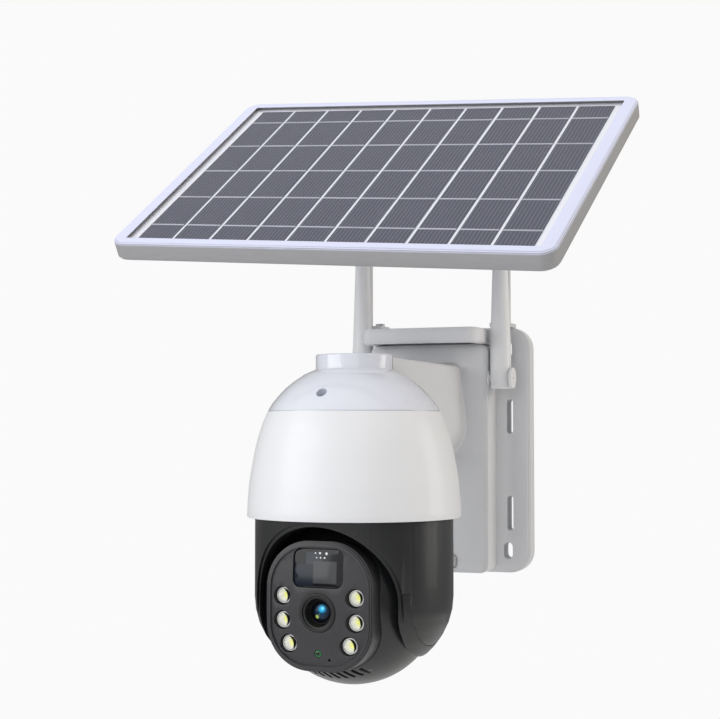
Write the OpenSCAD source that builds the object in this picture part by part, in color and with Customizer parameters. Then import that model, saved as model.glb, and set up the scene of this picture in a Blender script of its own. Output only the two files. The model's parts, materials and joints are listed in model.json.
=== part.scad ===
// Solar-powered pan and tilt camera: wall box with two folding antennas, a camera on a short arm
// and a solar panel on a ball mount above. Z is up, the wall is the plane Y = 0, the front is -Y.

/* [Wall box] */
// Width of the back plate
plate_w = 115; // [110:1:125]
// Height of the back plate
plate_h = 148; // [144:1:160]
// Thickness of the back plate
plate_t = 11; // [9:0.5:13]
// Corner radius of the back plate
plate_r = 13; // [8:1:18]
// Width of the raised box
box_w = 74; // [72:1:76]
// Distance from the wall to the box front
box_front = 32; // [31:0.5:34]
// Distance from the wall to the front edge of the rain brim
brim_front = 51; // [44:1:56]
// Height of the rain brim
brim_h = 9.2; // [7:0.2:10]
// Wall thickness of the plastic shells
wall = 2.4; // [2:0.1:2.6]

/* [Antennas] */
// Distance of each antenna from the centre plane
antenna_x = 44; // [44:0.5:46]
// Distance from the wall to the antenna axis
antenna_y = 26; // [26:0.5:27]
// Height of the folding axis
antenna_pivot_z = 42.8; // [40:0.1:46]
// Diameter of the antenna at its foot
antenna_d = 12.5; // [11:0.1:12.5]
// Length of an antenna
antenna_l = 98.5; // [80:0.5:99]

/* [Camera] */
// Distance from the wall to the pan axis
pan_y = 154; // [150:1:165]
// Height of the hood's lower rim
rim_z = -33.5; // [-36:0.1:-32]
// Height of the tilt axis
tilt_z = -74.2; // [-76:0.1:-74]
// Radius of the camera ball
ball_r = 46; // [46:0.1:47]
// Half of the ball's width between its flat sides
ball_side = 38; // [37:0.1:38]
// Outer radius of the fork that holds the ball
fork_r = 52; // [51.5:0.1:52.5]
// Turn of the camera head from straight ahead
head_turn = -2.2; // [-5:0.1:5]
// Width of the arm between box and hood
arm_w = 42; // [40:0.2:48]
// Height of the arm's flat top
arm_top = 50; // [49:0.5:51.5]

/* [Solar panel] */
// Length of the panel along the wall
panel_l = 251; // [240:1:260]
// Depth of the panel up its slope
panel_d = 183; // [170:1:190]
// Thickness of the panel frame
panel_t = 11; // [9:0.5:13]
// Columns of solar cells
cell_columns = 10; // [6:1:12]
// Ribbons across each cell
ribbon_count = 5; // [3:1:6]
// Slope of the panel from level
panel_slope = 35.3; // [20:0.1:50]
// Roll of the panel in its ball mount
panel_roll = 4; // [-6:0.1:6]
// Turn of the panel in its ball mount
panel_turn = -2.9; // [-6:0.1:6]

/* [Hidden] */
$fn = 96;
eps = 0.01;
half_h = plate_h / 2;
brim_z = 63.2;
box_bottom = -73;
seal_y = plate_t - 1.2;
recess_depth = 4.4;

ball_centre = [0, -101.1, 136.1];
stud_slope = 35;
frame_under = 15;
frame_top = frame_under + panel_t;
glass_top = frame_top - 0.8;
active_l = 226.6;
active_d = 165.1;

hood_wall = 2.5;
hood_profile = [[0, 55.5], [0.2, 55.9], [0.7, 56.1], [8, 55.8], [16.7, 55.2], [23, 54.3],
                [29.6, 53.1], [36, 51.9], [42, 50.4], [48.5, 48.3], [54.9, 45.6]];
cap_profile = [[54.9, 45.6], [59.2, 43.1], [63.1, 40], [67, 36.3], [70.5, 32.1], [74.5, 26.3], [77, 20.6]];
seam_z = rim_z + 54.9;
collar_r = 20.3;
collar_top = 51.4;
cap_screw_r = 35.5;
cap_boss_z = 9.5;
cap_screw_angles = [-94, 26, 146];

gear_module = 0.8;
pan_teeth = 60;
pan_pinion_teeth = 12;
pan_centres = gear_module * (pan_teeth + pan_pinion_teeth) / 2;
sun_teeth = 30;
tilt_pinion_teeth = 12;
tilt_centres = gear_module * (sun_teeth + tilt_pinion_teeth) / 2;
fork_top = 51.5;
fork_inner = ball_side + 0.6;
cover_half = 28.4;
cover_gap = 0.15;
hub_r = 10;
base_z = -14;

plate_half_w = 29;
plate_half_h = 32.3;
plate_corner = 23;
plate_z = -1.6;
plate_rim = 3;
face_front = 47.4;
dome_r = 250;
lens_z = -4.6;
led_places = [[19.8, 3.2], [19.8, -8.9], [16.4, -20.4]];
led_depth = 4.6;
window_z = 17.4;
board_front = 33.8;
hole_r = 4.8;

// ---- shared shapes ----

module rounded_2d(w, h, r) {
    square([w - 2 * r, h], center = true);
    square([w, h - 2 * r], center = true);
    for (x = [-1, 1], y = [-1, 1]) translate([x * (w / 2 - r), y * (h / 2 - r)]) circle(r);
}

// A prism whose outline is drawn in X and Z, from the wall distance near to far
module prism_y(near, far) {
    translate([0, -near, 0]) rotate([90, 0, 0]) linear_extrude(far - near) children();
}

module rod_y(x, z, r, near, far) {
    translate([x, -near, z]) rotate([90, 0, 0]) cylinder(r = r, h = far - near);
}

module block(low, high) {
    translate(low) cube(high - low);
}

module slot_2d(w, h) {
    square([w, h - w], center = true);
    for (s = [-1, 1]) translate([0, s * (h - w) / 2]) circle(w / 2);
}

module spur_gear(teeth, thick) {
    pitch = gear_module * teeth / 2;
    tip = pitch + 0.8 * gear_module;
    root = pitch - 1.1 * gear_module;
    half = 0.86 * 90 / teeth;
    corners = [[root, -1.35], [tip, -0.5], [tip, 0.5], [root, 1.35]];
    linear_extrude(thick) polygon([for (k = [0:teeth - 1], c = corners)
        let (a = 360 / teeth * k + c[1] * half) [c[0] * cos(a), c[0] * sin(a)]]);
}

module at_pan() {
    translate([0, -pan_y, 0]) children();
}

// Frame of the tilt axis, turned with the head from straight ahead to its set direction
module at_tilt() {
    translate([0, -pan_y, tilt_z]) rotate(head_turn) children();
}

// Frame of the solar panel: origin at the ball's centre, Z along the panel's normal
module at_panel() {
    translate(ball_centre) rotate([panel_slope, panel_roll, panel_turn]) children();
}

// Frame of the ball stud: origin at the ball's centre, Z along the stud
module at_stud() {
    translate(ball_centre) rotate([stud_slope, 0, 0]) children();
}

// ---- wall box ----

screw_slots = [for (x = [-44, 44], z = [-60.7, 60.7]) [x, z]];
strap_slots = [for (x = [-45.4, 45.4], z = [-38.2, 20]) [x, z]];
arm_screw_places = [for (s = [-1, 1], p = [[12.5, 6], [15.6, 44.2]]) [s * p[0], p[1]]];
shell_screws = [for (x = [-32, 32], z = [-66, 58]) [x, z]];

module back_plate() {
    color("gainsboro") difference() {
        union() {
            difference() {
                union() {
                    prism_y(0, plate_t - 2) rounded_2d(plate_w, plate_h, plate_r);
                    prism_y(plate_t - 2, plate_t - 1) rounded_2d(plate_w - 1, plate_h - 1, plate_r - 0.5);
                    prism_y(plate_t - 1, plate_t) rounded_2d(plate_w - 3, plate_h - 3, plate_r - 1.5);
                }
                prism_y(-eps, recess_depth) difference() {
                    rounded_2d(plate_w - 2 * wall, plate_h - 2 * wall, plate_r - wall);
                    square([box_w + 2, 2 * plate_h], center = true);
                }
            }
            for (p = screw_slots) translate([p[0], 0, p[1]]) prism_y(0, plate_t - 1)
                square([11, 16], center = true);
            for (p = strap_slots) translate([p[0], 0, p[1]]) prism_y(0, plate_t - 1)
                square([8, 26], center = true);
        }
        block([-29.5, -plate_t - eps, -70], [29.5, -wall, 66]);
        for (p = screw_slots) translate([p[0], 0, p[1]]) prism_y(-1, plate_t + 1) slot_2d(5.6, 10);
        for (p = strap_slots) translate([p[0], 0, p[1]]) prism_y(-1, plate_t + 1) slot_2d(3.8, 21);
        for (p = shell_screws) rod_y(p[0], p[1], 1.6, -1, plate_t + 1);
        for (p = shell_screws) rod_y(p[0], p[1], 3, -1, 3);
        for (s = [-1, 1]) translate([s * 40, -6, 67]) cylinder(r = 1.6, h = 10);
        prism_y(seal_y, plate_t + 1) seal_2d();
    }
}

module seal_2d() {
    translate([0, -4.6]) difference() {
        square([72, 133], center = true);
        square([69.6, 130.6], center = true);
    }
}

module box_seal() {
    color("dimgray") prism_y(seal_y, plate_t) translate([0, -4.6]) difference() {
        square([71.8, 132.8], center = true);
        square([69.8, 130.8], center = true);
    }
}

module box_2d(shrink) {
    height = brim_z - box_bottom;
    translate([0, (brim_z + box_bottom) / 2]) rounded_2d(box_w - 2 * shrink, height - 2 * shrink, 5 - shrink);
}

module box_shell() {
    color("silver") difference() {
        union() {
            difference() {
                union() {
                    prism_y(plate_t, box_front - 2) box_2d(0);
                    prism_y(box_front - 2, box_front - 0.8) box_2d(0.7);
                    prism_y(box_front - 0.8, box_front) box_2d(1.8);
                }
                prism_y(plate_t - 1, box_front - wall) box_2d(wall);
            }
            for (p = shell_screws) rod_y(p[0], p[1], 2.8, plate_t, box_front - 1);
        }
        for (p = shell_screws) rod_y(p[0], p[1], 1.3, plate_t - 1, 24);
        for (s = [-1, 1]) translate([s * 30, -antenna_y, antenna_pivot_z]) rotate([0, s * 90, 0])
            cylinder(r = 2.05, h = 10);
        for (p = arm_screw_places) rod_y(p[0], p[1], 1.6, 20, box_front + 1);
        for (s = [-1, 1]) translate([s * 20, -antenna_y, 50]) cylinder(r = 1.3, h = 20);
        block([-2, -box_front - 1, 20], [8, -20, 30]);
        prism_y(box_front - 1.4, box_front + 1) translate([3, -66.2]) rounded_2d(30.6, 8.6, 3);
        prism_y(20, box_front + 1) translate([-4, -66.2]) rounded_2d(9.4, 3.6, 1.7);
        rod_y(11, -66.2, 1.35, 20, box_front + 1);
    }
}

module brim_2d(inset) {
    corner = 7;
    back = -plate_t;
    half = 36.3 - inset;
    front = -brim_front + inset;
    translate([-half, front + corner - inset]) square([2 * half, back - front - corner + inset]);
    translate([-half + corner - inset, front]) square([2 * (half - corner + inset), corner]);
    for (s = [-1, 1]) translate([s * (36.3 - corner), -brim_front + corner]) circle(corner - inset);
}

module brim_cap() {
    color("whitesmoke") difference() {
        union() {
            translate([0, 0, brim_z]) linear_extrude(0.8) brim_2d(0.8);
            translate([0, 0, brim_z + 0.8]) linear_extrude(brim_h - 2) brim_2d(0);
            translate([0, 0, brim_z + brim_h - 1.2]) linear_extrude(0.7) brim_2d(0.5);
            translate([0, 0, brim_z + brim_h - 0.5]) linear_extrude(0.5) brim_2d(1.5);
        }
        block([-31, -46, brim_z - eps], [31, -14, brim_z + brim_h - wall]);
        for (s = [-1, 1]) translate([s * 33.5, -antenna_y, brim_z - 1]) cylinder(r = 1.3, h = 7);
    }
}

module box_screws() {
    color("silver") for (p = shell_screws) {
        rod_y(p[0], p[1], 2.7, 0.6, 2.9);
        rod_y(p[0], p[1], 1.25, 2.9, 22);
    }
}

battery_places = [for (x = [-19.3, 0, 19.3], z = [-69.4, -4.4]) [x, z]];

module battery_tray() {
    color("dimgray") {
        block([-29.3, -3.5, -69.5], [29.3, -2.5, 62.5]);
        for (s = [-1, 1]) translate([s * 28.95, 0, 0]) block([-0.35, -14, -69.5], [0.35, -3.5, 60.6]);
        block([-29.3, -10, -69.9], [29.3, -2.5, -69.5]);
    }
}

module battery_cells() {
    color("royalblue") for (p = battery_places) translate([p[0], -13, p[1]]) {
        cylinder(r = 9.15, h = 64);
        translate([0, 0, 64]) cylinder(r = 3, h = 0.9);
    }
}

module control_board() {
    color("darkgreen") {
        block([-28.5, -25.4, -60], [28.5, -23.8, 56]);
        block([-20, -27.4, -20], [-4, -25.4, -4]);
        block([6, -27, -34], [18, -25.4, -22]);
        block([-24, -28.6, 24], [-12, -25.4, 34]);
        translate([16, -25.4, 22]) rotate([90, 0, 0]) cylinder(r = 3.5, h = 3.4);
    }
}

module charge_port() {
    color("silver") translate([-4, 0, -66.2]) difference() {
        prism_y(23, box_front - 1.6) rounded_2d(9, 3.2, 1.55);
        prism_y(25, box_front) rounded_2d(8.2, 2.4, 1.15);
    }
}

module reset_button() {
    color("darkorange") {
        rod_y(11, -66.2, 1.3, 24, box_front - 1.2);
        rod_y(11, -66.2, 2.2, 23, 24.5);
    }
}

// Rubber flap over the charging port and the reset button, hinged along its lower edge
module port_cover() {
    color("darkgray") difference() {
        union() {
            prism_y(box_front - 0.8, box_front + 1) translate([3, -66.2]) rounded_2d(30, 8, 2.8);
            prism_y(box_front + 1, box_front + 1.6) translate([3, -66.2]) rounded_2d(28.6, 6.6, 2.2);
        }
        prism_y(box_front - 2, box_front - 0.5) translate([3, -66.2]) rounded_2d(22, 4.4, 2);
    }
}

// ---- antennas ----

module antenna_axles() {
    color("whitesmoke") for (s = [-1, 1]) translate([0, -antenna_y, antenna_pivot_z]) rotate([0, s * 90, 0]) {
        translate([0, 0, 31]) cylinder(r = 2, h = 6.1);
        translate([0, 0, box_w / 2]) cylinder(r = 5, h = 0.7);
        translate([0, 0, box_w / 2]) cylinder(r = 3, h = 13.4);
        translate([0, 0, antenna_x + 6.3]) difference() {
            cylinder(r = 6.2, h = 1.6);
            translate([0, 0, 1]) cylinder(r = 0.8, h = 2);
        }
    }
}

module antenna_nuts() {
    color("silver") for (s = [-1, 1]) translate([s * 31.6, -antenna_y, antenna_pivot_z])
        rotate([0, s * 90, 0]) difference() {
            cylinder(r = 3.4, h = 2.8, $fn = 6);
            translate([0, 0, -1]) cylinder(r = 2.05, h = 5);
        }
}

antenna_foot = antenna_pivot_z - 6.3;
antenna_tip_r = 4.0;

module antenna(side) {
    color("gainsboro") translate([side * antenna_x, -antenna_y, antenna_foot]) difference() {
        intersection() {
            rotate_extrude() polygon([[0, 0], [antenna_d / 2 - 0.6, 0], [antenna_d / 2, 0.6],
                [antenna_d / 2, 22], [antenna_tip_r + 0.5, antenna_l - 20], [antenna_tip_r, antenna_l - 3],
                [antenna_tip_r - 1, antenna_l - 0.8], [antenna_tip_r - 2.4, antenna_l], [0, antenna_l]]);
            block([-6, -10, -1], [6, 10, antenna_l + 1]);
        }
        translate([-10, 0, 6.3]) rotate([0, 90, 0]) cylinder(r = 3.05, h = 20);
        translate([0, 0, 14]) cylinder(r = 2.4, h = antenna_l - 19);
    }
}

module antenna_coil(side) {
    color("goldenrod") translate([side * antenna_x, -antenna_y, antenna_foot + 14]) difference() {
        cylinder(r = 2.3, h = antenna_l - 22);
        translate([0, 0, 20]) cylinder(r = 1.8, h = antenna_l);
    }
}

module antenna_left() {
    antenna(-1);
}

module antenna_right() {
    antenna(1);
}

module antenna_left_coil() {
    antenna_coil(-1);
}

module antenna_right_coil() {
    antenna_coil(1);
}

// ---- panel stand ----

bracket_x = 44.4;
bracket_t = 3;

module panel_bracket() {
    color("silver") difference() {
        union() {
            for (s = [-1, 1]) {
                translate([s * bracket_x - 3, 0, 0]) rotate([90, 0, 90]) linear_extrude(6)
                    polygon([[-11, half_h], [-11, half_h + 2.5], [-15, half_h + 2.5], [-15, 147],
                        [-85.7, 129.8], [-85, 126.9], [-18, 143.2], [-18, half_h]]);
                translate([s * 41, -9, half_h]) block([-6, -9, 0], [6, 7.5, 2.5]);
            }
            at_stud() translate([0, 0, -17]) linear_extrude(bracket_t)
                rounded_2d(2 * bracket_x + 6, 20, 3);
        }
        for (s = [-1, 1]) translate([s * 40, -6, half_h - 1]) cylinder(r = 1.6, h = 6);
        at_stud() translate([0, 0, -18]) cylinder(r = 3.05, h = 6);
    }
}

module bracket_screws() {
    color("silver") for (s = [-1, 1]) translate([s * 40, -6, 67.5]) {
        cylinder(r = 1.5, h = 9);
        translate([0, 0, 9]) cylinder(r = 2.8, h = 2);
    }
}

module ball_stud() {
    color("silver") at_stud() {
        sphere(r = 8);
        translate([0, 0, -12]) cylinder(r = 3.5, h = 12);
        translate([0, 0, -13.7]) cylinder(r = 7, h = 2.2);
        translate([0, 0, -24]) cylinder(r = 3, h = 12);
    }
}

module stud_nut() {
    color("gray") at_stud() translate([0, 0, -22.3]) difference() {
        cylinder(r = 7, h = 5, $fn = 6);
        translate([0, 0, -1]) cylinder(r = 3.02, h = 8);
    }
}

// Everything within an angle of the panel's underside direction is left open for the stud
module ball_mouth(angle, reach) {
    rotate_extrude() polygon([[0, 0], [reach * tan(angle), -reach], [0, -reach]]);
}

module ball_liner() {
    color("white") at_panel() difference() {
        sphere(r = 9.7);
        sphere(r = 8.3);
        ball_mouth(57, 20);
    }
}

module ball_socket() {
    color("dimgray") at_panel() difference() {
        union() {
            sphere(r = 12.6);
            translate([0, 0, 4]) cylinder(r1 = 12.6, r2 = 18, h = frame_under - 6.5);
            translate([0, 0, frame_under - 3]) cylinder(r = 24, h = 3);
        }
        sphere(r = 10);
        ball_mouth(55, 24);
        for (a = [45:90:315]) rotate(a) translate([20.5, 0, 0]) cylinder(r = 1.6, h = 30);
    }
}

module clamp_ring() {
    color("gray") at_panel() difference() {
        union() {
            translate([0, 0, -5]) cylinder(r = 15, h = 6);
            for (a = [0:15:345]) rotate(a) translate([15, 0, -4.5]) cylinder(r = 0.9, h = 5);
        }
        translate([0, 0, -7]) cylinder(r = 12.7, h = 9);
    }
}

module socket_screws() {
    color("silver") at_panel() for (a = [45:90:315]) rotate(a) translate([20.5, 0, 0]) {
        translate([0, 0, frame_under - 5]) cylinder(r = 2.8, h = 2);
        translate([0, 0, frame_under - 3]) cylinder(r = 1.5, h = 4.2);
    }
}

// ---- solar panel ----

lip = 9;

// A plate whose rounded outline is smaller than the panel's by inset on each side
module panel_slab(z, thick, inset) {
    translate([0, 0, z]) linear_extrude(thick)
        rounded_2d(panel_l - 2 * inset, panel_d - 2 * inset, lip - inset);
}

module panel_block(z, thick, inset) {
    translate([0, 0, z]) linear_extrude(thick)
        square([panel_l - 2 * inset, panel_d - 2 * inset], center = true);
}

module panel_frame() {
    color("lavender") at_panel() difference() {
        union() {
            panel_slab(frame_under, 1, 0.8);
            panel_slab(frame_under + 1, panel_t - 2.4, 0);
            panel_slab(frame_top - 1.4, 0.8, 0.4);
            panel_slab(frame_top - 0.6, 0.6, 1.2);
        }
        panel_block(frame_under + 3, panel_t, 4);
        panel_block(frame_under - 1, panel_t, 12);
    }
    color("lavender") at_panel() difference() {
        panel_block(glass_top + 0.1, frame_top - glass_top - 0.1, 4);
        translate([0, 0, glass_top - 1]) linear_extrude(5)
            square([active_l + 8, active_d + 5], center = true);
    }
}

module panel_back() {
    color("lightgray") at_panel() difference() {
        union() {
            panel_block(frame_under + 3, 4.2, 4.2);
            panel_block(frame_under, 3.1, 12.2);
        }
        for (a = [45:90:315]) rotate(a) translate([20.5, 0, frame_under - 1]) cylinder(r = 1.55, h = 3);
    }
}

module cell_backing() {
    color("ghostwhite") at_panel() panel_block(frame_under + 7.2, 1.2, 4.3);
}

cell_pitch = active_l / cell_columns;
cell_gap = 1.9;
cell_z = frame_under + 8.4;

// Repeats its children along each column of cells
module each_column() {
    for (k = [0:cell_columns - 1]) translate([(k - (cell_columns - 1) / 2) * cell_pitch, 0, 0]) children();
}

module solar_cells() {
    color("darkslateblue") at_panel() each_column() translate([0, 0, cell_z]) linear_extrude(0.4)
        square([cell_pitch - cell_gap, active_d], center = true);
}

module cell_ribbons() {
    color("lightgray") at_panel() each_column() for (j = [0:ribbon_count - 1])
        translate([0, ((j + 0.5) / ribbon_count - 0.5) * active_d, cell_z + 0.4]) linear_extrude(0.2)
            square([cell_pitch - cell_gap, 1.3], center = true);
}

module panel_glass() {
    color("lightblue", 0.3) at_panel() panel_block(cell_z + 0.6, glass_top - cell_z - 0.6, 4.4);
}

module junction_box() {
    color("black") at_panel() translate([0, 48, frame_under - 9]) difference() {
        linear_extrude(9) rounded_2d(56, 34, 3);
        translate([0, 0, 1.8]) linear_extrude(8) rounded_2d(52, 30, 2);
    }
}

// ---- arm and hood ----

module arm_2d(shrink) {
    r = arm_w / 2 - shrink;
    centre = -6 + arm_w / 2;
    translate([0, centre]) circle(r);
    translate([-r, centre]) square([2 * r, arm_top - shrink - centre - 2]);
    translate([-r + 2, centre]) square([2 * r - 4, arm_top - shrink - centre]);
    for (s = [-1, 1]) translate([s * (r - 2), arm_top - shrink - 2]) circle(2);
}

module hood_solid(shrink) {
    at_pan() translate([0, 0, rim_z]) rotate_extrude() polygon(concat([[0, 0]],
        [for (p = hood_profile) [p[1] - shrink, p[0]]],
        [for (p = cap_profile) [p[1] - shrink, p[0] - shrink * 0.7]], [[0, 77 - shrink * 0.7]]));
}

module arm_flare(near, far, grow) {
    hull() {
        prism_y(near, near + eps) arm_grown_2d(grow[0]);
        prism_y(far - eps, far) arm_grown_2d(grow[1]);
    }
}

module arm_grown_2d(grow) {
    for (s = [-1, 1]) translate([s * (arm_w / 2 - 6), arm_top - 6 + grow * 0.6]) circle(r = 6, $fn = 32);
    translate([0, -6 + arm_w / 2]) circle(r = arm_w / 2 + grow, $fn = 64);
}

// The arm narrows from the box to the collar, which its sides meet at a tangent
module arm_plan() {
    wide = arm_w / 2 + 1;
    narrow = collar_r - 0.05;
    translate([0, 0, -20]) linear_extrude(100) polygon([[-wide, 0], [wide, 0], [wide, -box_front],
        [narrow, 2 - pan_y], [-narrow, 2 - pan_y], [-wide, -box_front]]);
}

module camera_arm() {
    color("silver") difference() {
        union() {
            difference() {
                intersection() {
                    prism_y(box_front, pan_y - 4) arm_2d(0);
                    arm_plan();
                }
                prism_y(box_front - 1, pan_y - 26) arm_2d(3.2);
            }
            difference() {
                union() {
                    arm_flare(box_front, box_front + 1.5, [3.8, 2.2]);
                    arm_flare(box_front + 1.5, box_front + 4, [2.2, 0.9]);
                    arm_flare(box_front + 4, box_front + 9, [0.9, 0]);
                }
                prism_y(box_front - 1, pan_y) arm_2d(1);
            }
            for (p = arm_screw_places) rod_y(p[0], p[1], 4, box_front, box_front + 14);
            for (s = [-1, 1]) rod_y(s * 12, 4, 3.6, 84, 108);
        }
        hood_solid(-0.02);
        at_pan() cylinder(r = collar_r + 0.02, h = 60);
        for (p = arm_screw_places) rod_y(p[0], p[1], 1.3, box_front - 1, box_front + 12);
        for (s = [-1, 1]) rod_y(s * 12, 4, 1.3, 90, 112);
    }
}

module arm_screws() {
    color("silver") {
        for (p = arm_screw_places) {
            rod_y(p[0], p[1], 1.25, box_front - wall, box_front + 10);
            rod_y(p[0], p[1], 2.7, box_front - wall - 2, box_front - wall);
        }
        for (s = [-1, 1]) {
            rod_y(s * 12, 4, 1.25, 92, 107.5);
            rod_y(s * 12, 4, 2.5, 107.5, 109.5);
        }
    }
}

module hood_skirt() {
    inner = [for (p = hood_profile) [p[1] - hood_wall, p[0]]];
    count = len(inner);
    color("whitesmoke") difference() {
        union() {
            at_pan() translate([0, 0, rim_z]) rotate_extrude() polygon(concat(
                [for (p = hood_profile) [p[1], p[0]]], [for (k = [1:count]) inner[count - k]]));
            intersection() {
                hood_solid(1);
                at_pan() {
                    for (a = cap_screw_angles) rotate(a) {
                        translate([cap_screw_r, 0, cap_boss_z]) cylinder(r = 3.6, h = seam_z - cap_boss_z);
                        translate([cap_screw_r, -1.2, cap_boss_z]) cube([16, 2.4, seam_z - cap_boss_z]);
                    }
                    for (a = [90, 210, 330]) rotate(a) translate([46, 0, base_z + 3]) {
                        cylinder(r = 3.4, h = 12);
                        translate([0, -3.4, 0]) cube([9, 6.8, 12]);
                    }
                }
            }
        }
        at_pan() for (a = cap_screw_angles) rotate(a) translate([cap_screw_r, 0, cap_boss_z - 1])
            cylinder(r = 1.3, h = 20);
        at_pan() for (a = [90, 210, 330]) rotate(a) translate([46, 0, base_z]) cylinder(r = 1.3, h = 12);
        for (s = [-1, 1]) rod_y(s * 12, 4, 1.35, 90, 112);
        rod_y(0, 10, 6, 90, 112);
    }
}

module hood_cap() {
    outer = [for (p = cap_profile) [p[1], p[0]]];
    count = len(outer);
    inner = [for (k = [1:count - 1]) outer[count - k] - [1.8, 1.9]];
    seam = outer[0];
    groove = [seam - [0.6, 0], seam + [-0.6, 0.5], seam + [-0.25, 0.5]];
    top = collar_top - rim_z;
    collar = [[collar_r, 77.6], [collar_r, top - 0.6], [collar_r - 0.6, top], [0, top],
              [0, top - 2], [collar_r - 2.5, top - 2], [collar_r - 2.5, 75.6]];
    rest = [for (k = [1:count - 1]) outer[k]];
    color("white") at_pan() difference() {
        translate([0, 0, rim_z]) union() {
            rotate_extrude() polygon(concat(groove, rest, collar, inner, [seam - [2.4, 0]]));
            intersection() {
                translate([0, 0, -rim_z]) for (a = cap_screw_angles) rotate(a)
                    translate([cap_screw_r, 0, seam_z]) cylinder(r = 4.6, h = 14);
                rotate_extrude() polygon(concat([[0, seam[1]]], groove, rest, [[0, 77]]));
            }
        }
        for (a = cap_screw_angles) rotate(a) translate([cap_screw_r, 0, seam_z]) {
            translate([0, 0, 2.2]) cylinder(r = 2.65, h = 6);
            translate([0, 0, 6]) rotate([0, 45, 0]) cylinder(r = 2.85, h = 20);
            translate([0, 0, -1]) cylinder(r = 1.5, h = 8);
        }
    }
}

module cap_screws() {
    color("gray") at_pan() {
        for (a = cap_screw_angles) rotate(a) translate([cap_screw_r, 0, seam_z]) {
            translate([0, 0, 2.2]) cylinder(r = 2.4, h = 1.8);
            translate([0, 0, -10]) cylinder(r = 1.2, h = 12.2);
        }
        for (a = [90, 210, 330]) rotate(a) translate([46, 0, base_z]) {
            translate([0, 0, -2]) cylinder(r = 2.4, h = 2);
            cylinder(r = 1.2, h = 11);
        }
    }
}

module pan_board() {
    color("darkgreen") at_pan() translate([0, 0, 12]) {
        cylinder(r = 31, h = 1.6);
        translate([-8, 4, 1.6]) cube([16, 12, 1.2]);
        translate([-20, -18, 1.6]) cube([10, 6, 5]);
    }
}

// ---- pan drive ----

module pan_base() {
    color("lightgray") at_pan() difference() {
        union() {
            translate([0, 0, base_z]) cylinder(r = 51, h = 3);
            translate([0, 0, base_z]) cylinder(r = 14, h = 6.2);
        }
        translate([0, 0, base_z - 1]) cylinder(r = hub_r + 0.05, h = 10);
        translate([0, -pan_centres, base_z - 1]) cylinder(r = 3, h = 5);
        for (a = [90, 210, 330]) rotate(a) translate([46, 0, base_z - 1]) cylinder(r = 1.25, h = 5);
    }
}

module pan_motor() {
    color("silver") at_pan() translate([0, -pan_centres, 0]) {
        translate([0, 0, base_z + 3]) cylinder(r = 14, h = 19);
        translate([0, 0, base_z - 8.5]) cylinder(r = 2, h = 13);
    }
}

module pan_pinion() {
    color("ivory") at_pan() translate([0, -pan_centres, base_z - 8.2]) difference() {
        rotate(180 / pan_pinion_teeth) spur_gear(pan_pinion_teeth, 2.8);
        translate([0, 0, -1]) cylinder(r = 2.05, h = 5);
    }
}

module pan_gear() {
    color("ivory") at_pan() translate([0, 0, tilt_z + fork_top]) difference() {
        union() {
            spur_gear(pan_teeth, 3);
            cylinder(r = hub_r, h = 15.2);
            cylinder(r = 8, h = 17.6);
        }
        translate([0, 0, -1]) cylinder(r = 5.5, h = 20);
        for (a = [0:120:240]) rotate(a) translate([17, 0, -1]) cylinder(r = 1.5, h = 5);
    }
}

module pan_retainer() {
    color("dimgray") at_pan() translate([0, 0, tilt_z + fork_top + 15.2]) difference() {
        cylinder(r = 13.5, h = 2);
        translate([0, 0, -1]) cylinder(r = 8.03, h = 4);
    }
}

// ---- fork ----

fork_bottom = 44;

module fork_solid(shrink) {
    r = fork_r - shrink;
    b = fork_bottom - shrink;
    rotate_extrude() polygon(concat([[0, fork_top]], [[r, fork_top]],
        [for (a = [0:9:81]) [r * cos(a), -b * sin(a)]], [[0, -b]]));
}

module cover_outline(half) {
    depth = half * 0.84;
    polygon(concat([[-half, 42], [half, 42]], [for (a = [0:10:180]) [half * cos(a), -depth * sin(a)]]));
}

module cover_prism(side, half, from_x) {
    rotate([90, 0, 90]) mirror([0, 0, side > 0 ? 0 : 1]) translate([0, 0, from_x]) linear_extrude(60 - from_x)
        cover_outline(half);
}

module ball_space(r, side) {
    intersection() {
        sphere(r);
        cube([2 * side, 3 * r, 3 * r], center = true);
    }
}

module arch_2d(grow = 0) {
    r = fork_inner - 0.4 + grow;
    polygon(concat([[-r, -60], [r, -60]], [for (a = [0:5:180]) [r * cos(a), r * sin(a)]]));
}

// Shallow step that runs round the arch on the fork's outer face
module arch_step() {
    difference() {
        prism_y(-60, 60) arch_2d(2.2);
        translate([0, 0, -60]) cylinder(r = fork_r - 1.1, h = 120);
    }
}

module fork() {
    color("#2d2e30") at_tilt() difference() {
        fork_solid(0);
        ball_space(ball_r + 1, fork_inner);
        prism_y(-60, 60) arch_2d();
        for (s = [-1, 1]) cover_prism(s, cover_half + cover_gap, fork_inner + 2.4);
        for (s = [-1, 1]) rotate([0, s * 90, 0]) cylinder(r = 4.02, h = 60);
        translate([0, 0, 40]) cylinder(r = 5.5, h = 20);
        for (a = [0:120:240]) rotate(a - head_turn) translate([17, 0, 40]) cylinder(r = 1.25, h = 20);
        seam_groove();
        arch_step();
    }
}

// Fine line across each front and back edge of the fork, level with the covers' straight edges
module seam_groove() {
    translate([0, 0, 4.7]) linear_extrude(0.4) difference() {
        circle(r = fork_r + 1);
        circle(r = fork_r - 0.5);
    }
}

module side_covers() {
    color("#3c3d3f") at_tilt() for (s = [-1, 1]) difference() {
        intersection() {
            fork_solid(0.05);
            cover_prism(s, cover_half, fork_inner + 2.5);
        }
        intersection() {
            fork_solid(2.2);
            cover_prism(s, cover_half - 2, 20);
            translate([0, 0, -15]) cube([200, 200, 110], center = true);
        }
    }
}

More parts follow.
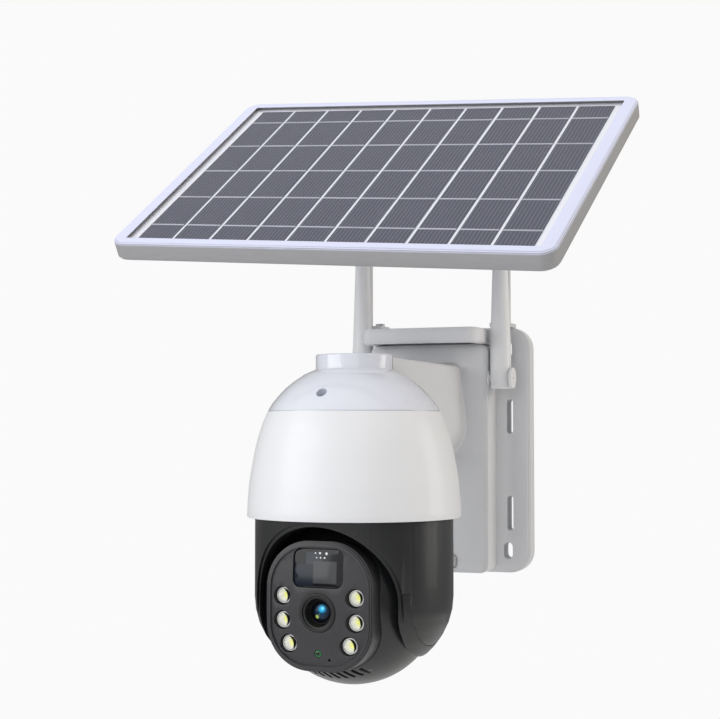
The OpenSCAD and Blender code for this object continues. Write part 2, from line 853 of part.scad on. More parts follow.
// Left stub axle, held in the fork, on which the ball turns
module tilt_pivot() {
    color("silver") at_tilt() rotate([0, -90, 0]) {
        translate([0, 0, 34.5]) cylinder(r = 4, h = fork_inner - 34.5 + 2.4);
        translate([0, 0, fork_inner + 2.4]) cylinder(r = 6.5, h = 2);
    }
}

// Right stub axle with the fixed gear that the tilt pinion walks round
module tilt_sun_gear() {
    color("ivory") at_tilt() rotate([0, 90, 0]) {
        translate([0, 0, 30]) spur_gear(sun_teeth, 3);
        translate([0, 0, 32]) cylinder(r = 4, h = fork_inner - 32 + 2.4);
        translate([0, 0, fork_inner + 2.4]) cylinder(r = 6.5, h = 2);
    }
}

// ---- ball ----

skin = 2.2;
split_y = 4;
speaker_angle = 55;
slot_pitch = 4.2;

module plate_2d(inset) {
    translate([0, plate_z])
        rounded_2d(2 * (plate_half_w - inset), 2 * (plate_half_h - inset), plate_corner - inset);
}

module ball_skin() {
    difference() {
        ball_space(ball_r, ball_side);
        ball_space(ball_r - skin, ball_side - skin);
        rotate([0, 90, 0]) cylinder(r = 4.05, h = 200, center = true);
    }
}

ball_screws = [for (x = [-24, 24], z = [-24, 24]) [x, z]];

module ball_front() {
    color("#232425") at_tilt() difference() {
        union() {
            intersection() {
                ball_skin();
                block([-60, -60, -60], [60, split_y, 60]);
            }
            intersection() {
                for (p = ball_screws) rod_y(p[0], p[1], 2.6, -split_y, 26);
                ball_space(ball_r - 1, ball_side);
            }
        }
        prism_y(28, 60) plate_2d(-0.2);
        for (p = ball_screws) rod_y(p[0], p[1], 1.2, -10, 8);
        for (k = [-4:4]) rotate([speaker_angle, 0, 0]) translate([k * slot_pitch, -ball_r, 0])
            rotate([0, -28, 0]) cube([1.8, 8, 9.5 - 0.5 * abs(k)], center = true);
    }
}

module ball_rear() {
    color("#232425") at_tilt() difference() {
        union() {
            intersection() {
                ball_skin();
                block([-60, split_y, -60], [60, 60, 60]);
            }
            intersection() {
                for (p = ball_screws) rod_y(p[0], p[1], 3.4, -60, -split_y);
                ball_space(ball_r - 1, ball_side);
            }
        }
        for (p = ball_screws) rod_y(p[0], p[1], 1.4, -60, -split_y + 1);
        for (p = ball_screws) rod_y(p[0], p[1], 2.4, -60, -22);
    }
}

module dome_space(drop) {
    translate([0, -face_front + dome_r + drop, 0]) sphere(r = dome_r, $fn = 128);
}

// The plate's rim falls back from its front edge in three steps
module plate_body() {
    for (p = [[0, 1.7], [0.6, 0.6], [1.4, 0]]) intersection() {
        prism_y(28.2, 52) plate_2d(p[0]);
        dome_space(p[1]);
    }
}

module face_plate() {
    color("#454548") at_tilt() difference() {
        union() {
            difference() {
                plate_body();
                difference() {
                    prism_y(34, 53) plate_2d(plate_rim);
                    dome_space(1);
                }
                intersection() {
                    prism_y(27, 53) plate_2d(2.2);
                    dome_space(3.2);
                }
            }
            for (s = [-1, 1], p = led_places) rod_y(s * p[0], p[1], hole_r + 0.8, 38, 45);
        }
        rod_y(0, lens_z, 9.8, 30, 60);
        for (s = [-1, 1], p = led_places) rod_y(s * p[0], p[1], hole_r, 30, 60);
        prism_y(30, 60) translate([0, window_z]) rounded_2d(27.4, 19.4, 4);
        rod_y(0, lens_z - 20.1, 2, 30, 60);
        rod_y(6, lens_z - 23, 0.7, 30, 60);
    }
}

module motion_window() {
    color("#15161a") at_tilt() difference() {
        intersection() {
            prism_y(36, 50) translate([0, window_z]) rounded_2d(27.2, 19.2, 3.9);
            dome_space(1.7);
        }
        dome_space(3.4);
    }
}

module lens_barrel() {
    color("#303032") at_tilt() difference() {
        union() {
            rod_y(0, lens_z, 9.6, 39, 46.6);
            rod_y(0, lens_z, 7, 20.2, 39);
        }
        rod_y(0, lens_z, 8.2, 45.6, 48);
        translate([0, -42, lens_z]) rotate([90, 0, 0]) cylinder(r1 = 5.6, r2 = 7.2, h = 3.7);
        rod_y(0, lens_z, 5.5, 34, 50);
    }
}

module lens_glass() {
    color("#2fb5dc") at_tilt() intersection() {
        rod_y(0, lens_z, 5.45, 35, 46);
        translate([0, -34, lens_z]) sphere(r = 9.2);
    }
}

module led_reflectors() {
    stem = face_front - led_depth - board_front;
    color("white") at_tilt() for (s = [-1, 1], p = led_places)
        translate([s * p[0], -face_front + led_depth, p[1]]) rotate([-90, 0, 0]) rotate_extrude()
            polygon([[3.3, 0], [4, 0], [4, 1], [2.6, 5], [2.6, stem], [0, stem], [0, 4], [1.4, 4]]);
}

module led_chips() {
    color("khaki") at_tilt() for (s = [-1, 1], p = led_places)
        translate([s * p[0], -face_front + led_depth + 4, p[1]]) rotate([90, 0, 0])
            cylinder(r = 1.3, h = 0.8);
}

module lamp_board() {
    color("darkgreen") at_tilt() difference() {
        prism_y(board_front - 1.6, board_front) plate_2d(3);
        rod_y(0, lens_z, 7.2, 30, 40);
    }
}

module image_board() {
    color("darkgreen") at_tilt() {
        prism_y(18.6, 20.2) translate([0, lens_z]) square([30, 30], center = true);
        prism_y(17, 18.6) translate([0, lens_z]) square([12, 12], center = true);
    }
}

module speaker() {
    color("black") at_tilt() rotate([speaker_angle, 0, 0]) translate([0, -39, 0]) rotate([-90, 0, 0])
        cylinder(r = 9, h = 4);
}

// Stepper motor inside the ball, behind the tilt axis
module tilt_motor() {
    color("silver") at_tilt() translate([0, tilt_centres, 0]) rotate([0, 90, 0]) {
        translate([0, 0, 14]) cylinder(r = 9, h = 15);
        translate([0, 0, 29]) cylinder(r = 1.5, h = 4);
    }
}

module tilt_pinion() {
    color("ivory") at_tilt() translate([30, tilt_centres, 0]) rotate([0, 90, 0]) difference() {
        spur_gear(tilt_pinion_teeth, 3);
        translate([0, 0, -1]) cylinder(r = 1.55, h = 6);
    }
}

back_plate();
box_shell();
brim_cap();
box_seal();
box_screws();
battery_tray();
battery_cells();
control_board();
charge_port();
reset_button();
port_cover();
antenna_axles();
antenna_nuts();
antenna_left();
antenna_right();
antenna_left_coil();
antenna_right_coil();
panel_bracket();
bracket_screws();
ball_stud();
stud_nut();
ball_liner();
ball_socket();
clamp_ring();
socket_screws();
panel_frame();
panel_back();
cell_backing();
solar_cells();
cell_ribbons();
panel_glass();
junction_box();
camera_arm();
arm_screws();
hood_skirt();
hood_cap();
cap_screws();
pan_board();
pan_base();
pan_motor();
pan_pinion();
pan_gear();
pan_retainer();
fork();
side_covers();
tilt_pivot();
tilt_sun_gear();
tilt_motor();
tilt_pinion();
ball_front();
ball_rear();
face_plate();
motion_window();
lens_barrel();
lens_glass();
led_reflectors();
led_chips();
lamp_board();
image_board();
speaker();
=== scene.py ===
"""Looks of the solar-powered security camera: materials, small shaped pieces, light and the camera."""
import json
import math

import bmesh
import bpy
from mathutils import Matrix, Vector


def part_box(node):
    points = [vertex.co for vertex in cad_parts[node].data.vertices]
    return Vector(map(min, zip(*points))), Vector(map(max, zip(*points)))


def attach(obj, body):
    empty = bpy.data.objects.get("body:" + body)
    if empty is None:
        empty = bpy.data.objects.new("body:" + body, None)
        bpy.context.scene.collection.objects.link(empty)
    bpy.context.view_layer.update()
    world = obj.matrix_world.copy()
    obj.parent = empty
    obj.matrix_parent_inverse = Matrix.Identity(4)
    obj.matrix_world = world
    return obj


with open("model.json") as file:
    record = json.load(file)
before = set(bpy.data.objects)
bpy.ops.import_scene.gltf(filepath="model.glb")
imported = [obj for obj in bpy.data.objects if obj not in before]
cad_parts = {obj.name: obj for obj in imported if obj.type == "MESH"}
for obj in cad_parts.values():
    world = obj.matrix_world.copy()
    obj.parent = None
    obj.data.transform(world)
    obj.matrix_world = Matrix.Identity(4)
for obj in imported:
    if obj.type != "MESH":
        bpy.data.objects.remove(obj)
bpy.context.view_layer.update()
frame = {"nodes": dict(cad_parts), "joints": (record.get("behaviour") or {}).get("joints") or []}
MM = 0.001

# ---- camera: a 75 mm lens a little to the right of the object and level with its middle ----

CAMERA_PLACE = Vector((0.2861, -0.8909, 0.0117))
CAMERA_TURN = math.radians(21)
CAMERA_RISE = math.radians(2.7)


def make_camera():
    data = bpy.data.cameras.new("camera")
    data.lens = 75
    data.sensor_width = 36
    data.clip_start = 0.01
    camera = bpy.data.objects.new("camera", data)
    bpy.context.scene.collection.objects.link(camera)
    forward = Vector((-math.sin(CAMERA_TURN) * math.cos(CAMERA_RISE),
                      math.cos(CAMERA_TURN) * math.cos(CAMERA_RISE),
                      math.sin(CAMERA_RISE)))
    camera.location = CAMERA_PLACE
    camera.rotation_mode = "QUATERNION"
    camera.rotation_quaternion = forward.to_track_quat("-Z", "Y")
    bpy.context.scene.camera = camera


make_camera()

# ---- material tools ----


class Nodes:
    """A short way to write node materials: every call adds a node and links what it is given."""

    def __init__(self, name):
        self.material = bpy.data.materials.new(name)
        self.material.use_nodes = True
        self.tree = self.material.node_tree
        self.tree.nodes.clear()
        self.output = self.tree.nodes.new("ShaderNodeOutputMaterial")

    def put(self, socket, value):
        if isinstance(value, bpy.types.NodeSocket):
            self.tree.links.new(value, socket)
        else:
            socket.default_value = value

    def add(self, kind, settings=None, **inputs):
        node = self.tree.nodes.new(kind)
        for key, value in (settings or {}).items():
            setattr(node, key, value)
        for key, value in inputs.items():
            self.put(node.inputs[key.replace("_", " ")], value)
        return node

    def place(self):
        return self.add("ShaderNodeTexCoord").outputs["Object"]

    def scaled(self, scale, turn=(0, 0, 0)):
        mapping = self.add("ShaderNodeMapping", Scale=scale, Rotation=turn, Vector=self.place())
        return mapping.outputs["Vector"]

    def noise(self, scale, detail=3.0, vector=None):
        vector = vector or self.place()
        return self.add("ShaderNodeTexNoise", Scale=scale, Detail=detail, Vector=vector).outputs["Fac"]

    def math(self, operation, a, b=0.0, c=0.0):
        node = self.add("ShaderNodeMath", {"operation": operation})
        for k, value in enumerate((a, b, c)):
            self.put(node.inputs[k], value)
        return node.outputs[0]

    def span(self, value, low, high):
        node = self.add("ShaderNodeMapRange", Value=value)
        node.inputs["To Min"].default_value = low
        node.inputs["To Max"].default_value = high
        return node.outputs["Result"]

    def blend(self, factor, a, b):
        node = self.add("ShaderNodeMix", {"data_type": "RGBA"})
        self.put(node.inputs[0], factor)
        self.put(node.inputs[6], a)
        self.put(node.inputs[7], b)
        return node.outputs[2]

    def bump(self, height, strength, distance):
        return self.add("ShaderNodeBump", Strength=strength, Distance=distance, Height=height).outputs["Normal"]

    def surface(self, shader):
        self.tree.links.new(shader.outputs[0], self.output.inputs["Surface"])
        return self.material


def rgb(code):
    """Linear colour with alpha from an sRGB hex code."""
    parts = [int(code[k:k + 2], 16) / 255 for k in (1, 3, 5)]
    return (*[(v / 12.92 if v <= 0.04045 else ((v + 0.055) / 1.055) ** 2.4) for v in parts], 1.0)


def shade(colour, factor):
    return (*[min(1.0, v * factor) for v in colour[:3]], 1.0)


def plastic(name, colour, rough=(0.35, 0.45), grain=900, depth=0.00004, strength=0.25, coat=0.0, speckle=0.03):
    """Moulded plastic: fine grain in the surface, slow changes of tone and gloss."""
    n = Nodes(name)
    base = rgb(colour)
    slow = n.noise(18, 2.0)
    tone = n.blend(slow, shade(base, 1 - speckle), shade(base, 1 + speckle))
    fine = n.noise(grain, 4.0)
    shader = n.add("ShaderNodeBsdfPrincipled", Base_Color=tone, Roughness=n.span(n.noise(60, 3.0), *rough),
                   Normal=n.bump(fine, strength, depth))
    shader.inputs["Coat Weight"].default_value = coat
    shader.inputs["Coat Roughness"].default_value = 0.04
    return n.surface(shader)


def metal(name, colour, rough=(0.25, 0.4), grain=(900, 900, 40), strength=0.3):
    """Plain or plated metal with drawn grain."""
    n = Nodes(name)
    base = rgb(colour)
    fine = n.noise(1.0, 4.0, n.scaled(grain))
    tone = n.blend(n.noise(30), shade(base, 0.9), shade(base, 1.08))
    shader = n.add("ShaderNodeBsdfPrincipled", Base_Color=tone, Roughness=n.span(fine, *rough),
                   Normal=n.bump(fine, strength, 0.00003))
    shader.inputs["Metallic"].default_value = 1.0
    return n.surface(shader)


# ---- materials ----

MATERIALS = {
    "shell": plastic("shell_white", "#dcdde0", (0.38, 0.5), 700, strength=0.2),
    "box": plastic("box_white", "#d3d4d7", (0.42, 0.55), 700, strength=0.25),
    "skirt": plastic("skirt_white", "#e9eaed", (0.3, 0.38), 500, depth=0.00002, strength=0.06, coat=0.12),
    "cap": plastic("cap_gloss_white", "#e2e5ef", (0.05, 0.1), 300, depth=0.00002, strength=0.04, coat=1.0),
    "antenna": plastic("antenna_white", "#e2e3e5", (0.32, 0.42), 800, strength=0.15),
    "fork": plastic("fork_black", "#1b1c1d", (0.36, 0.46), 1400, strength=0.35, coat=0.1),
    "cover": plastic("cover_black", "#1f2021", (0.34, 0.44), 1400, strength=0.35, coat=0.1),
    "ball": plastic("ball_black", "#17181a", (0.3, 0.4), 1400, strength=0.3, coat=0.15),
    "plate": plastic("plate_charcoal", "#313134", (0.34, 0.42), 1300, strength=0.3),
    "barrel": plastic("barrel_black", "#121213", (0.3, 0.4), 1500, strength=0.3),
    "backsheet": plastic("backsheet_white", "#f1f2fb", (0.4, 0.5), 800, strength=0.1),
    "socket": plastic("socket_black", "#1c1c1e", (0.45, 0.55), 900, strength=0.4),
    "rubber": plastic("rubber_grey", "#b9babd", (0.6, 0.75), 900, strength=0.5),
    "steel": metal("steel_bright", "#b9babd"),
    "paint": plastic("paint_white", "#d8d9dc", (0.3, 0.4), 1200, depth=0.00005, strength=0.4, coat=0.2),
    "brass": metal("brass_coil", "#c9a45a"),
    "circuit": plastic("circuit_green", "#12502c", (0.3, 0.45), 400, strength=0.5, speckle=0.2),
    "battery": plastic("battery_blue", "#2c56a0", (0.25, 0.35), 200, strength=0.1, coat=0.6),
    "gear": plastic("gear_ivory", "#e6e1d0", (0.4, 0.5), 900, strength=0.2),
}

SURFACES = {
    "back_plate": "box", "box_shell": "box", "brim_cap": "shell", "camera_arm": "box", "box_seal": "rubber",
    "box_screws": "steel", "battery_tray": "socket", "battery_cells": "battery", "control_board": "circuit",
    "charge_port": "steel", "reset_button": "rubber", "port_cover": "rubber", "antenna_axles": "antenna",
    "antenna_nuts": "steel", "antenna_left": "antenna", "antenna_right": "antenna",
    "antenna_left_coil": "brass", "antenna_right_coil": "brass", "panel_bracket": "paint",
    "bracket_screws": "steel", "ball_stud": "steel", "stud_nut": "steel", "ball_liner": "gear",
    "ball_socket": "socket", "clamp_ring": "socket", "socket_screws": "steel", "panel_frame": "frame",
    "panel_back": "backsheet", "cell_backing": "backsheet", "junction_box": "socket", "arm_screws": "steel",
    "hood_skirt": "skirt", "hood_cap": "cap", "cap_screws": "steel", "pan_board": "circuit",
    "pan_base": "shell", "pan_motor": "steel", "pan_pinion": "gear", "pan_gear": "gear",
    "pan_retainer": "socket", "fork": "fork", "side_covers": "cover", "tilt_pivot": "steel",
    "tilt_sun_gear": "gear", "tilt_motor": "steel", "tilt_pinion": "gear", "ball_front": "ball",
    "ball_rear": "ball", "face_plate": "plate", "motion_window": "window", "lens_barrel": "barrel",
    "lamp_board": "circuit", "image_board": "circuit", "speaker": "socket",
}


# ---- solar cells, ribbons and glass ----

FINGER_PITCH = 0.0021


def panel_axes():
    """The panel's own axes in the row frame, from the hinge that it rolls on and the largest face of the cover
    glass.
    """
    up_slope = Vector(next(j["axis"] for j in frame["joints"] if j["name"] == "panel_roll")).normalized()
    mesh = frame["nodes"]["panel_glass"].data
    largest = max(mesh.polygons, key=lambda p: p.area)
    normal = largest.normal.copy()
    if normal.z < 0:
        normal.negate()
    normal = (normal - up_slope * normal.dot(up_slope)).normalized()
    along = up_slope.cross(normal).normalized()
    return along, up_slope, normal


PANEL_ALONG, PANEL_UP, PANEL_NORMAL = panel_axes()
PANEL_TURN = Matrix((PANEL_ALONG, PANEL_UP, PANEL_NORMAL)).to_euler()


def cell_material():
    """Dark silicon with fine pale fingers across the slope and a faint crystal shimmer."""
    n = Nodes("silicon")
    place = n.add("ShaderNodeMapping", Rotation=PANEL_TURN, Vector=n.place()).outputs["Vector"]
    parts = n.add("ShaderNodeSeparateXYZ", Vector=place)
    wave = n.math("PINGPONG", n.math("DIVIDE", parts.outputs["X"], FINGER_PITCH), 0.5)
    finger = n.math("LESS_THAN", wave, 0.07)
    weave = n.math("PINGPONG", n.math("DIVIDE", parts.outputs["Y"], FINGER_PITCH * 0.8), 0.5)
    ripple = n.math("MULTIPLY", weave, 0.2)
    dark = n.blend(n.noise(90, 5.0), rgb("#3f4150"), rgb("#4a4c5c"))
    dark = n.blend(ripple, dark, rgb("#545668"))
    tone = n.blend(finger, dark, rgb("#7d7f90"))
    shader = n.add("ShaderNodeBsdfPrincipled", Base_Color=tone, Roughness=n.span(n.noise(400), 0.45, 0.6),
                   Normal=n.bump(finger, 0.04, 0.00002))
    return n.surface(shader)


def ribbon_material():
    n = Nodes("ribbon_tin")
    tone = n.blend(n.noise(500), rgb("#b4b5c4"), rgb("#d0d1de"))
    shader = n.add("ShaderNodeBsdfPrincipled", Base_Color=tone, Roughness=n.span(n.noise(300), 0.35, 0.5))
    shader.inputs["Metallic"].default_value = 0.3
    return n.surface(shader)


def glass_material():
    """Clear cover glass: see-through, with a weak gloss that grows towards grazing angles."""
    n = Nodes("cover_glass")
    smear = n.span(n.noise(35, 4.0), 0.05, 0.16)
    gloss = n.add("ShaderNodeBsdfGlossy", Roughness=smear, Normal=n.bump(n.noise(60, 2.0), 0.02, 0.00002))
    clear = n.add("ShaderNodeBsdfTransparent")
    front = n.math("SUBTRACT", 1.0, n.add("ShaderNodeNewGeometry").outputs["Backfacing"])
    fresnel = n.add("ShaderNodeFresnel", IOR=1.25).outputs[0]
    mix = n.add("ShaderNodeMixShader")
    n.put(mix.inputs[0], n.math("MULTIPLY", fresnel, front))
    n.put(mix.inputs[1], clear.outputs[0])
    n.put(mix.inputs[2], gloss.outputs[0])
    return n.surface(mix)


def frame_material():
    """Anodised frame: pale lavender on the lip with fine drawn grain; the sides are painted plain grey as painted
    shade.
    """
    n = Nodes("frame_lavender_painted_shade_sides")
    facing = n.add("ShaderNodeVectorMath", {"operation": "DOT_PRODUCT"})
    n.put(facing.inputs[0], n.add("ShaderNodeTexCoord").outputs["Normal"])
    facing.inputs[1].default_value = PANEL_NORMAL
    lip_vs_painted_shade = n.add("ShaderNodeMapRange", {"interpolation_type": "SMOOTHSTEP"}, Value=facing.outputs["Value"])
    lip_vs_painted_shade.inputs["From Min"].default_value = 0.15
    lip_vs_painted_shade.inputs["From Max"].default_value = 0.85
    grain = n.noise(1.0, 4.0, n.scaled((60, 900, 900), PANEL_TURN))
    top = n.blend(grain, rgb("#d3d7ef"), rgb("#dde0f6"))
    # Grey for faces turned away from the panel's face: painted shade on the frame's sides.
    painted_shade_side = n.blend(grain, rgb("#97979a"), rgb("#a2a2a5"))
    shader = n.add("ShaderNodeBsdfPrincipled", Base_Color=n.blend(lip_vs_painted_shade.outputs["Result"], painted_shade_side, top),
                   Roughness=n.span(n.noise(70), 0.46, 0.58), Normal=n.bump(grain, 0.12, 0.00002))
    return n.surface(shader)


MATERIALS["frame"] = frame_material()
MATERIALS["cells"] = cell_material()
MATERIALS["ribbons"] = ribbon_material()
MATERIALS["glass"] = glass_material()
SURFACES.update({"solar_cells": "cells", "cell_ribbons": "ribbons", "panel_glass": "glass"})


# ---- lens and lamps ----


def soft_spot(n, centre, radius, core=0.35):
    """One inside a round spot fixed in the object, fading to nothing at its radius."""
    apart = n.add("ShaderNodeVectorMath", {"operation": "DISTANCE"})
    n.put(apart.inputs[0], n.place())
    apart.inputs[1].default_value = centre
    node = n.add("ShaderNodeMapRange", {"interpolation_type": "SMOOTHSTEP"}, Value=apart.outputs["Value"])
    node.inputs["From Min"].default_value = radius * core
    node.inputs["From Max"].default_value = radius
    node.inputs["To Min"].default_value = 1.0
    node.inputs["To Max"].default_value = 0.0
    return node.outputs["Result"]


def lens_material():
    """Front element: near-black glass with painted reflections fixed in the glass: a deep blue bloom, a cyan painted
    highlight and a small yellow-green painted glint.
    """
    n = Nodes("lens_painted_reflections")
    low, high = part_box("lens_glass")
    middle = (low + high) / 2

    def spot(right, up, radius, core=0.35):
        return soft_spot(n, Vector((middle.x + right * MM, low.y + 0.6 * MM, middle.z + up * MM)), radius * MM, core)

    # Painted reflections: the blue bloom, cyan highlight and yellow-green glint spots are painted into the colour.
    tone = n.blend(spot(0.6, 0.4, 5.0), rgb("#050609"), rgb("#12293f"))
    tone = n.blend(spot(0.9, 1.7, 2.6, 0.2), tone, rgb("#1fa8dd"))
    tone = n.blend(spot(1.2, 2.0, 1.2, 0.2), tone, rgb("#7fdcf5"))
    tone = n.blend(spot(-1.7, -2.2, 1.3, 0.3), tone, rgb("#9fb558"))
    tone = n.blend(spot(-0.4, -0.9, 0.8, 0.3), tone, rgb("#5f7a4a"))
    shader = n.add("ShaderNodeBsdfPrincipled", Base_Color=tone, Emission_Color=tone,
                   Roughness=n.span(n.noise(200), 0.02, 0.05))
    # The emission makes the lens glow though it is no lamp: painted light.
    shader.inputs["Emission Strength"].default_value = 0.45
    shader.inputs["Specular IOR Level"].default_value = 0.2
    return n.surface(shader)


def window_material():
    """Dark gloss window with the sensor block and the row of tiny lamps behind it showing through faintly."""
    n = Nodes("window_black")
    low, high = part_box("motion_window")
    middle, half = (low + high) / 2, (high - low) / 2
    parts = n.add("ShaderNodeSeparateXYZ", Vector=n.place())
    across = n.math("DIVIDE", n.math("SUBTRACT", parts.outputs["X"], middle.x), half.x)
    up = n.math("DIVIDE", n.math("SUBTRACT", parts.outputs["Z"], middle.z), half.z)

    def patch(left, right, bottom, top, edge=0.04):
        inside = None
        for value, first, last in ((across, left, right), (up, bottom, top)):
            apart = n.math("ABSOLUTE", n.math("SUBTRACT", value, (first + last) / 2))
            node = n.add("ShaderNodeMapRange", {"interpolation_type": "SMOOTHSTEP"}, Value=apart)
            node.inputs["From Min"].default_value = (last - first) / 2 - edge
            node.inputs["From Max"].default_value = (last - first) / 2 + edge
            node.inputs["To Min"].default_value = 1.0
            node.inputs["To Max"].default_value = 0.0
            inside = node.outputs["Result"] if inside is None else n.math("MULTIPLY", inside, node.outputs["Result"])
        return inside

    tone = n.blend(n.noise(120), rgb("#0b0c11"), rgb("#101218"))
    tone = n.blend(patch(-0.95, -0.2, -0.9, 0.18), tone, rgb("#1c232e"))
    tone = n.blend(patch(-0.5, 0.15, 0.2, 0.82), tone, rgb("#30363f"))
    tone = n.blend(patch(-0.2, 0.72, -0.78, 0.36), tone, rgb("#46474a"))
    dots = None
    for right, top, size in ((-0.13, 0.78, 0.35), (0.05, 0.78, 0.5), (0.31, 0.76, 0.6), (-0.08, 0.54, 0.3),
                             (0.08, 0.54, 0.35), (0.24, 0.54, 0.4)):
        beside = n.math("MULTIPLY", n.math("SUBTRACT", across, right), half.x / MM)
        above = n.math("MULTIPLY", n.math("SUBTRACT", up, top), half.z / MM)
        apart = n.math("SQRT", n.math("ADD", n.math("MULTIPLY", beside, beside), n.math("MULTIPLY", above, above)))
        node = n.add("ShaderNodeMapRange", {"interpolation_type": "SMOOTHSTEP"}, Value=apart)
        node.inputs["From Min"].default_value = size * 0.6
        node.inputs["From Max"].default_value = size * 1.5
        node.inputs["To Min"].default_value = 1.0
        node.inputs["To Max"].default_value = 0.0
        dots = node.outputs["Result"] if dots is None else n.math("MAXIMUM", dots, node.outputs["Result"])
    shader = n.add("ShaderNodeBsdfPrincipled", Base_Color=n.blend(dots, tone, rgb("#f4f5f7")),
                   Roughness=n.span(n.noise(90), 0.06, 0.12), Normal=n.bump(n.noise(40), 0.02, 0.00002))
    shader.inputs["Specular IOR Level"].default_value = 0.35
    return n.surface(shader)


def lamp_material():
    n = Nodes("lamp_reflector_painted_glow")
    tone = n.blend(n.noise(250), rgb("#f0f0ee"), rgb("#ffffff"))
    shader = n.add("ShaderNodeBsdfPrincipled", Base_Color=tone, Emission_Color=tone,
                   Roughness=n.span(n.noise(500), 0.12, 0.25))
    shader.inputs["Metallic"].default_value = 0.25
    # The reflector cup glows faintly though it is no lamp: painted light.
    shader.inputs["Emission Strength"].default_value = 0.1
    return n.surface(shader)


def chip_material():
    n = Nodes("lamp_phosphor")
    tone = n.blend(n.noise(700), rgb("#dbe06a"), rgb("#eeee9a"))
    shader = n.add("ShaderNodeBsdfPrincipled", Base_Color=tone, Emission_Color=tone,
                   Roughness=n.span(n.noise(900), 0.4, 0.6))
    shader.inputs["Emission Strength"].default_value = 0.35
    return n.surface(shader)


def dome_material():
    """Clear moulded lamp lens."""
    n = Nodes("lamp_dome")
    gloss = n.add("ShaderNodeBsdfGlossy", Roughness=n.span(n.noise(300), 0.02, 0.06),
                  Normal=n.bump(n.noise(500), 0.03, 0.00002))
    clear = n.add("ShaderNodeBsdfTransparent")
    mix = n.add("ShaderNodeMixShader")
    n.put(mix.inputs[0], n.add("ShaderNodeFresnel", IOR=1.22).outputs[0])
    n.put(mix.inputs[1], clear.outputs[0])
    n.put(mix.inputs[2], gloss.outputs[0])
    return n.surface(mix)


def status_material(centre):
    """Dark light pipe with a green ring."""
    n = Nodes("status_green")
    ring = n.math("SUBTRACT", soft_spot(n, centre, 2.2 * MM, 0.8), soft_spot(n, centre, 1.5 * MM, 0.55))
    tone = n.blend(ring, rgb("#1a241d"), rgb("#1f6b38"))
    shader = n.add("ShaderNodeBsdfPrincipled", Base_Color=tone, Emission_Color=tone,
                   Roughness=n.span(n.noise(500), 0.15, 0.25))
    shader.inputs["Emission Strength"].default_value = 0.08
    return n.surface(shader)


MATERIALS["lens"] = lens_material()
MATERIALS["lamp"] = lamp_material()
MATERIALS["chip"] = chip_material()
MATERIALS["window"] = window_material()
SURFACES.update({"lens_glass": "lens", "led_reflectors": "lamp", "led_chips": "chip"})

# The camera head's own directions: its tilt axis, and straight out of its face
tilt_joint = next(j for j in frame["joints"] if j["name"] == "tilt")
HEAD_PLACE = Vector(tilt_joint["pos_m"])
HEAD_SIDE = Vector(tilt_joint["axis"]).normalized()
HEAD_FRONT = HEAD_SIDE.cross(Vector((0, 0, 1))).normalized()


def lathe(name, profile, place, material, sides=40, stretch=1.0):
    """A turned piece on the head: profile points are (radius, height out of the face), both in mm."""
    vertices, faces = [], []
    for radius, height in profile:
        for k in range(sides):
            angle = math.tau * k / sides
            vertices.append(place + HEAD_SIDE * (radius * MM * math.cos(angle))
                            + Vector((0, 0, radius * stretch * MM * math.sin(angle))) + HEAD_FRONT * (height * MM))
    for row in range(len(profile) - 1):
        for k in range(sides):
            a, b = row * sides + k, row * sides + (k + 1) % sides
            faces.append((a, b, b + sides, a + sides))
    faces.append(tuple(range(sides)))
    last = (len(profile) - 1) * sides
    faces.append(tuple(last + k for k in range(sides)))
    mesh = bpy.data.meshes.new(name)
    mesh.from_pydata(vertices, [], faces)
    bm = bmesh.new()
    bm.from_mesh(mesh)
    bmesh.ops.recalc_face_normals(bm, faces=bm.faces)
    bm.to_mesh(mesh)
    bm.free()
    for polygon in mesh.polygons:
        polygon.use_smooth = True
    mesh.materials.append(material)
    piece = bpy.data.objects.new(name, mesh)
    bpy.context.scene.collection.objects.link(piece)
    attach(piece, "camera_ball")
    return piece


STATUS_PLACE = HEAD_PLACE + HEAD_FRONT * (44.6 * MM) + Vector((0, 0, -24.7 * MM))
lathe("status_light", [(1.3, -1.5), (1.85, -1.5), (1.85, 0.2), (1.6, 0.45), (1.1, 0.6), (0.5, 0.68)],
      STATUS_PLACE, status_material(STATUS_PLACE + HEAD_FRONT * (0.4 * MM)))


def lamp_domes():
    """A clear dome with a flat flange over each lamp."""
    material = dome_material()
    dome = [(3.5, -0.3), (3.5, 0.15), (3.1, 0.2), (2.9, 0.7), (2.4, 1.3), (1.6, 1.8), (0.8, 2.05), (0.2, 2.1)]
    chips = frame["nodes"]["led_chips"].data.vertices
    groups = []
    for vertex in chips:
        near = next((g for g in groups if (g[0] - vertex.co).length < 0.006), None)
        if near:
            near.append(vertex.co.copy())
        else:
            groups.append([vertex.co.copy()])
    for count, group in enumerate(groups):
        centre = sum(group, Vector()) / len(group)
        lathe(f"lamp_dome_{count + 1}", dome, centre + HEAD_FRONT * (3.9 * MM), material, 32)


lamp_domes()


# ---- surfaces of the CAD nodes ----

EDGE_MM = {"back_plate": 0.6, "box_shell": 0.8, "brim_cap": 0.6, "antenna_left": 0.4, "antenna_right": 0.4,
           "antenna_axles": 0.3, "panel_frame": 0.5, "fork": 0.5, "side_covers": 0.35, "face_plate": 0.3,
           "motion_window": 0.3, "lens_barrel": 0.3, "ball_front": 0.25, "ball_rear": 0.25,
           "junction_box": 0.8, "camera_arm": 0.5, "port_cover": 0.3}


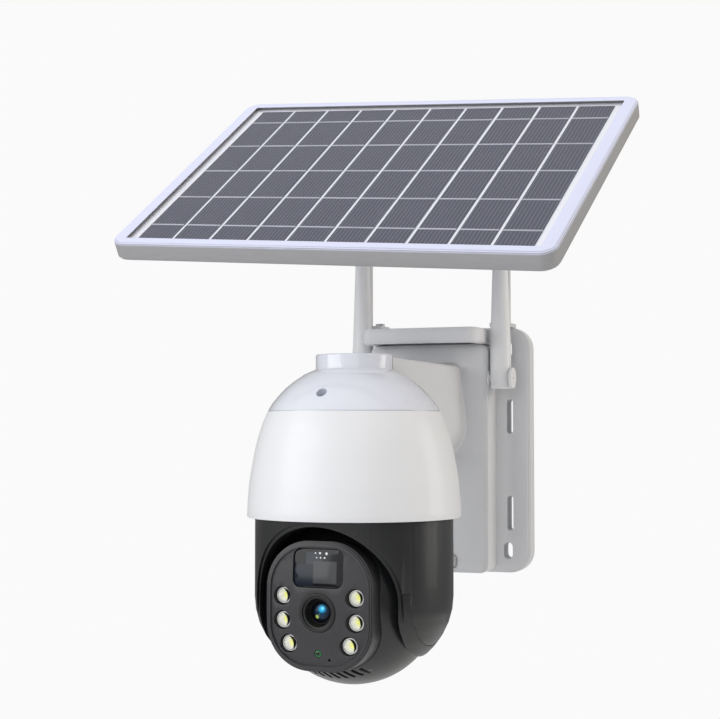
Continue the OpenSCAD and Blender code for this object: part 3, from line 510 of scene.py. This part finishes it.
def dress(node):
    obj = frame["nodes"][node]
    obj.data.materials.clear()
    obj.data.materials.append(MATERIALS[SURFACES[node]])
    weld = obj.modifiers.new("weld", "WELD")
    weld.merge_threshold = 0.000002
    if node in EDGE_MM:
        bevel = obj.modifiers.new("edges", "BEVEL")
        bevel.width = EDGE_MM[node] * MM
        bevel.segments = 3
        bevel.limit_method = "ANGLE"
        bevel.angle_limit = math.radians(35)
        bevel.harden_normals = True
    else:
        split = obj.modifiers.new("creases", "EDGE_SPLIT")
        split.split_angle = math.radians(32)
    for polygon in obj.data.polygons:
        polygon.use_smooth = True


for node_name in SURFACES:
    dress(node_name)


# ---- stage and light ----


def area_light(name, place, target, size, power, colour=(1, 1, 1)):
    data = bpy.data.lights.new(name, "AREA")
    data.shape = "RECTANGLE"
    data.size, data.size_y = size
    data.energy = power
    data.color = colour
    light = bpy.data.objects.new(name, data)
    bpy.context.scene.collection.objects.link(light)
    light.location = place
    light.rotation_mode = "QUATERNION"
    light.rotation_quaternion = (Vector(target) - Vector(place)).to_track_quat("-Z", "Y")
    return light


def make_floor():
    n = Nodes("floor_pale")
    tone = n.blend(n.noise(2), rgb("#f6f6f6"), rgb("#fafafa"))
    n.surface(n.add("ShaderNodeBsdfPrincipled", Base_Color=tone, Roughness=n.span(n.noise(40), 0.8, 0.9)))
    mesh = bpy.data.meshes.new("floor")
    radius, level, sides = 1.3, -0.45, 64
    ring = [(radius * math.cos(math.tau * k / sides), radius * math.sin(math.tau * k / sides) - 0.1, level)
            for k in range(sides)]
    mesh.from_pydata(ring, [], [tuple(range(sides))])
    mesh.materials.append(n.material)
    floor = bpy.data.objects.new("floor", mesh)
    bpy.context.scene.collection.objects.link(floor)


def make_world():
    """A white studio: plain white behind the object, and a softer light that fades towards the ground."""
    world = bpy.data.worlds.new("studio")
    world.use_nodes = True
    nodes, links = world.node_tree.nodes, world.node_tree.links
    background = nodes["Background"]
    background.inputs["Color"].default_value = (0.955, 0.955, 0.955, 1)
    path = nodes.new("ShaderNodeLightPath")
    direction = nodes.new("ShaderNodeSeparateXYZ")
    links.new(nodes.new("ShaderNodeTexCoord").outputs["Generated"], direction.inputs[0])
    fade = nodes.new("ShaderNodeMapRange")
    fade.inputs["From Min"].default_value = -0.5
    fade.inputs["From Max"].default_value = 0.8
    fade.inputs["To Min"].default_value = 0.12
    fade.inputs["To Max"].default_value = 0.62
    links.new(direction.outputs["Z"], fade.inputs["Value"])
    mix = nodes.new("ShaderNodeMix")
    links.new(path.outputs["Is Camera Ray"], mix.inputs[0])
    links.new(fade.outputs["Result"], mix.inputs[2])
    mix.inputs[3].default_value = 1.0
    links.new(mix.outputs[0], background.inputs["Strength"])
    bpy.context.scene.world = world


make_floor()
make_world()
MIDDLE = (0, -0.1, 0)
area_light("key_left", (-1.1, -1.3, 0.5), MIDDLE, (1.3, 1.2), 11)
area_light("front", (0.15, -1.9, 0.35), MIDDLE, (1.9, 1.5), 6.5)
area_light("rim_right", (1.2, 0.5, 0.2), MIDDLE, (0.5, 0.9), 2.4, (1.0, 0.97, 0.93))
top = area_light("top", (-0.2, -0.3, 1.4), MIDDLE, (1.2, 1.0), 7)
warm = area_light("panel_warm", (0.75, 0.0, 0.38), (0.13, -0.1, 0.17), (0.3, 0.3), 1.6, (1.0, 0.88, 0.7))
for light in (top, warm):
    light.visible_glossy = False

bpy.context.scene.view_settings.view_transform = "Standard"
